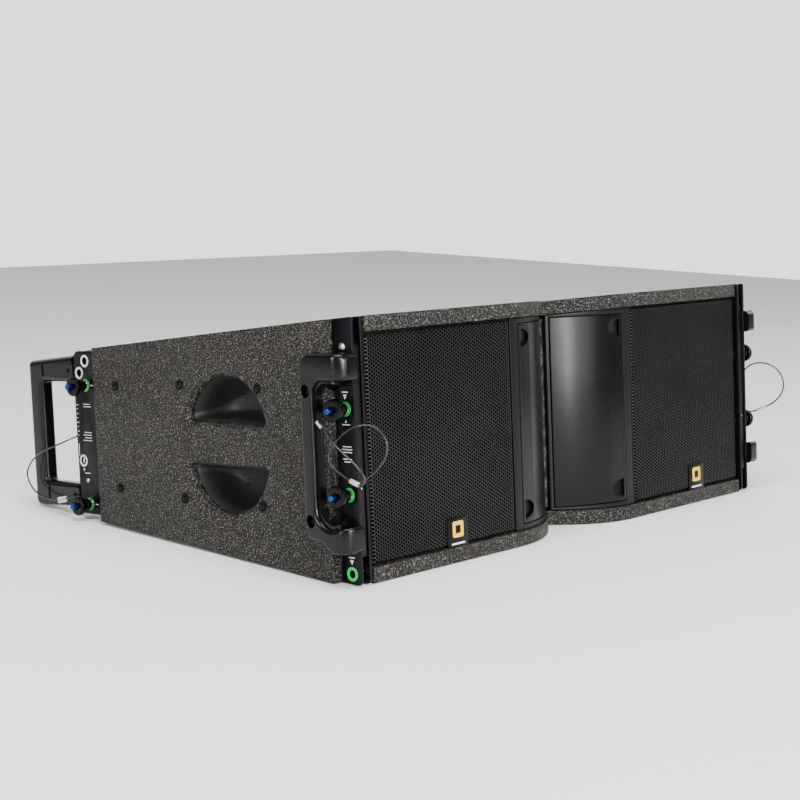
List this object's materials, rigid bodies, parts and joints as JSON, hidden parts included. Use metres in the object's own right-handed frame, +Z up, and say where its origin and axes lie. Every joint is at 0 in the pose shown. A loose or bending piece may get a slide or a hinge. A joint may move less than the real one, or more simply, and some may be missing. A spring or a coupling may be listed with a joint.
{
  "type": "line array loudspeaker",
  "caption": "Tapered two-way line array loudspeaker with a folding-fin horn between two woofers, carrying handles, link bars and ball-lock pins for flying.",
  "frame": {"origin": "bottom centre of the object's bounding box, measured without the lanyards", "axes": "+X to the viewer's right when facing the grilles, +Y from the grilles to the connector plate, +Z up"},
  "size_m": [0.729, 0.5457, 0.25],
  "materials": {
    "paint": "textured dark brown-grey cabinet paint on birch plywood",
    "plain_wood": "bare plywood",
    "black_plastic": "fine satin grain",
    "satin_black": "satin",
    "handle_black": "satin moulded",
    "black_steel": "black powder coat",
    "grille_steel": "perforated, black powder coat",
    "grey_steel": "dark brushed",
    "cast_frame": "die cast, dark grey",
    "magnet_steel": "smooth, dark grey",
    "paper_cone": "treated paper",
    "foam": "rough open gauze",
    "blue_aluminium": "blue anodised",
    "coated_wire": "stranded, clear coated"
  },
  "bodies": {
    "cabinet": {"panel_side_left": "paint", "panel_side_right": "paint", "pocket_cups_left": "black_plastic", "pocket_cups_right": "black_plastic", "baffle_left": "plain_wood", "baffle_right": "plain_wood", "woofer_basket_left": "cast_frame", "woofer_basket_right": "cast_frame", "woofer_cone_left": "paper_cone", "woofer_cone_right": "paper_cone", "grille_left": "grille_steel", "grille_right": "grille_steel", "horn_flare_left": "black_plastic", "horn_flare_right": "black_plastic", "front_channel_left": "black_steel", "front_channel_right": "black_steel", "rear_channel_left": "black_steel", "rear_channel_right": "black_steel", "front_handle_left": "handle_black", "front_handle_right": "handle_black", "rear_handle_left": "handle_black", "rear_handle_right": "handle_black", "lanyard_rear_left": "coated_wire", "lanyard_rear_right": "coated_wire", "lanyard_front_left": "coated_wire", "lanyard_front_right": "coated_wire", "connector_left": "black_plastic", "connector_right": "black_plastic", "panel_top": "paint", "panel_bottom": "paint", "panel_rear": "paint", "connector_plate": "black_steel", "throat_screen": "foam", "waveguide": "black_plastic", "compression_driver": "magnet_steel"},
    "horn_fin_left": {"horn_fin_left": "satin_black"},
    "horn_fin_right": {"horn_fin_right": "satin_black"},
    "front_link_bar_left": {"front_link_bar_left": "grey_steel"},
    "front_link_bar_right": {"front_link_bar_right": "grey_steel"},
    "rear_link_bar_left": {"rear_link_bar_left": "grey_steel"},
    "rear_link_bar_right": {"rear_link_bar_right": "grey_steel"},
    "pin_front_upper_left": {"pin_front_upper_left": "black_steel"},
    "pin_front_upper_right": {"pin_front_upper_right": "black_steel"},
    "pin_front_lower_left": {"pin_front_lower_left": "black_steel"},
    "pin_front_lower_right": {"pin_front_lower_right": "black_steel"},
    "pin_rear_upper_left": {"pin_rear_upper_left": "black_steel"},
    "pin_rear_upper_right": {"pin_rear_upper_right": "black_steel"},
    "pin_rear_lower_left": {"pin_rear_lower_left": "black_steel"},
    "pin_rear_lower_right": {"pin_rear_lower_right": "black_steel"},
    "button_front_upper_left": {"button_front_upper_left": "blue_aluminium"},
    "button_front_upper_right": {"button_front_upper_right": "blue_aluminium"},
    "button_front_lower_left": {"button_front_lower_left": "blue_aluminium"},
    "button_front_lower_right": {"button_front_lower_right": "blue_aluminium"},
    "button_rear_upper_left": {"button_rear_upper_left": "blue_aluminium"},
    "button_rear_upper_right": {"button_rear_upper_right": "blue_aluminium"},
    "button_rear_lower_left": {"button_rear_lower_left": "blue_aluminium"},
    "button_rear_lower_right": {"button_rear_lower_right": "blue_aluminium"}
  },
  "joints": [
    {"name": "horn_fin_left_swing", "type": "hinge", "parent": "cabinet", "child": "horn_fin_left", "pos_m": [-0.0102, -0.20774, 0.125], "axis": [0, 0, 1], "range_deg": [0, 20]},
    {"name": "horn_fin_right_swing", "type": "hinge", "parent": "cabinet", "child": "horn_fin_right", "pos_m": [0.0102, -0.20774, 0.125], "axis": [0, 0, -1], "range_deg": [0, 20]},
    {"name": "front_link_bar_left_rise", "type": "slide", "parent": "cabinet", "child": "front_link_bar_left", "axis": [0, 0, 1], "range_m": [0, 0.045]},
    {"name": "rear_link_bar_left_rise", "type": "slide", "parent": "cabinet", "child": "rear_link_bar_left", "axis": [0, 0, 1], "range_m": [0, 0.036]},
    {"name": "front_link_bar_right_rise", "type": "slide", "parent": "cabinet", "child": "front_link_bar_right", "axis": [0, 0, 1], "range_m": [0, 0.045]},
    {"name": "rear_link_bar_right_rise", "type": "slide", "parent": "cabinet", "child": "rear_link_bar_right", "axis": [0, 0, 1], "range_m": [0, 0.036]},
    {"name": "pin_front_upper_left_pull", "type": "slide", "parent": "cabinet", "child": "pin_front_upper_left", "axis": [-1, 0, 0], "range_m": [0, 0.02]},
    {"name": "button_front_upper_left_press", "type": "slide", "parent": "pin_front_upper_left", "child": "button_front_upper_left", "axis": [1, 0, 0], "range_m": [0, 0.0025], "stiffness_N_per_m": 600, "springref_m": -0.002},
    {"name": "pin_front_upper_right_pull", "type": "slide", "parent": "cabinet", "child": "pin_front_upper_right", "axis": [1, 0, 0], "range_m": [0, 0.02]},
    {"name": "button_front_upper_right_press", "type": "slide", "parent": "pin_front_upper_right", "child": "button_front_upper_right", "axis": [-1, 0, 0], "range_m": [0, 0.0025], "stiffness_N_per_m": 600, "springref_m": -0.002},
    {"name": "pin_front_lower_left_pull", "type": "slide", "parent": "cabinet", "child": "pin_front_lower_left", "axis": [-1, 0, 0], "range_m": [0, 0.02]},
    {"name": "button_front_lower_left_press", "type": "slide", "parent": "pin_front_lower_left", "child": "button_front_lower_left", "axis": [1, 0, 0], "range_m": [0, 0.0025], "stiffness_N_per_m": 600, "springref_m": -0.002},
    {"name": "pin_front_lower_right_pull", "type": "slide", "parent": "cabinet", "child": "pin_front_lower_right", "axis": [1, 0, 0], "range_m": [0, 0.02]},
    {"name": "button_front_lower_right_press", "type": "slide", "parent": "pin_front_lower_right", "child": "button_front_lower_right", "axis": [-1, 0, 0], "range_m": [0, 0.0025], "stiffness_N_per_m": 600, "springref_m": -0.002},
    {"name": "pin_rear_upper_left_pull", "type": "slide", "parent": "cabinet", "child": "pin_rear_upper_left", "axis": [-1, 0, 0], "range_m": [0, 0.02]},
    {"name": "button_rear_upper_left_press", "type": "slide", "parent": "pin_rear_upper_left", "child": "button_rear_upper_left", "axis": [1, 0, 0], "range_m": [0, 0.0025], "stiffness_N_per_m": 600, "springref_m": -0.002},
    {"name": "pin_rear_upper_right_pull", "type": "slide", "parent": "cabinet", "child": "pin_rear_upper_right", "axis": [1, 0, 0], "range_m": [0, 0.02]},
    {"name": "button_rear_upper_right_press", "type": "slide", "parent": "pin_rear_upper_right", "child": "button_rear_upper_right", "axis": [-1, 0, 0], "range_m": [0, 0.0025], "stiffness_N_per_m": 600, "springref_m": -0.002},
    {"name": "pin_rear_lower_left_pull", "type": "slide", "parent": "cabinet", "child": "pin_rear_lower_left", "axis": [-1, 0, 0], "range_m": [0, 0.02]},
    {"name": "button_rear_lower_left_press", "type": "slide", "parent": "pin_rear_lower_left", "child": "button_rear_lower_left", "axis": [1, 0, 0], "range_m": [0, 0.0025], "stiffness_N_per_m": 600, "springref_m": -0.002},
    {"name": "pin_rear_lower_right_pull", "type": "slide", "parent": "cabinet", "child": "pin_rear_lower_right", "axis": [1, 0, 0], "range_m": [0, 0.02]},
    {"name": "button_rear_lower_right_press", "type": "slide", "parent": "pin_rear_lower_right", "child": "button_rear_lower_right", "axis": [-1, 0, 0], "range_m": [0, 0.0025], "stiffness_N_per_m": 600, "springref_m": -0.002}
  ]
}
